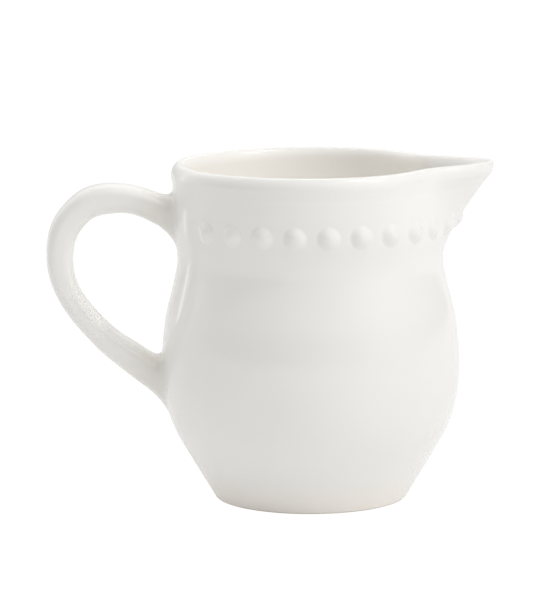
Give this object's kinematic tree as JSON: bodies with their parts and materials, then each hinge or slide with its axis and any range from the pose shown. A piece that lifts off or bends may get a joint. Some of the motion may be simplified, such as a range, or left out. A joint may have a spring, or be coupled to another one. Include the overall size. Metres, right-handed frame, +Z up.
{
  "type": "cream jug",
  "caption": "White glazed porcelain cream jug with a pinched spout, rolled lip, loop handle, beaded collar and foot ring",
  "frame": {"origin": "on the jug's axis, in the plane it stands on", "axes": "+X points to the spout and the handle is at -X, +Y is across the jug, +Z is up"},
  "size_m": [0.1429, 0.0956, 0.1084],
  "materials": {
    "glaze": "warm white clear glaze over porcelain, glossy, slightly uneven",
    "foot_clay": "the same glaze down the outside, wiped off the tread to bare fine-ground white clay"
  },
  "bodies": {
    "root": {"body": "glaze", "foot_ring": "foot_clay", "handle": "glaze", "handle_upper_luting": "glaze", "handle_lower_luting": "glaze", "bead_01": "glaze", "bead_02": "glaze", "bead_03": "glaze", "bead_04": "glaze", "bead_05": "glaze", "bead_06": "glaze", "bead_07": "glaze", "bead_08": "glaze", "bead_09": "glaze", "bead_10": "glaze", "bead_11": "glaze", "bead_12": "glaze", "bead_13": "glaze", "bead_14": "glaze", "bead_15": "glaze", "bead_16": "glaze", "bead_17": "glaze", "bead_18": "glaze", "bead_19": "glaze", "bead_20": "glaze", "bead_21": "glaze"}
  },
  "joints": []
}
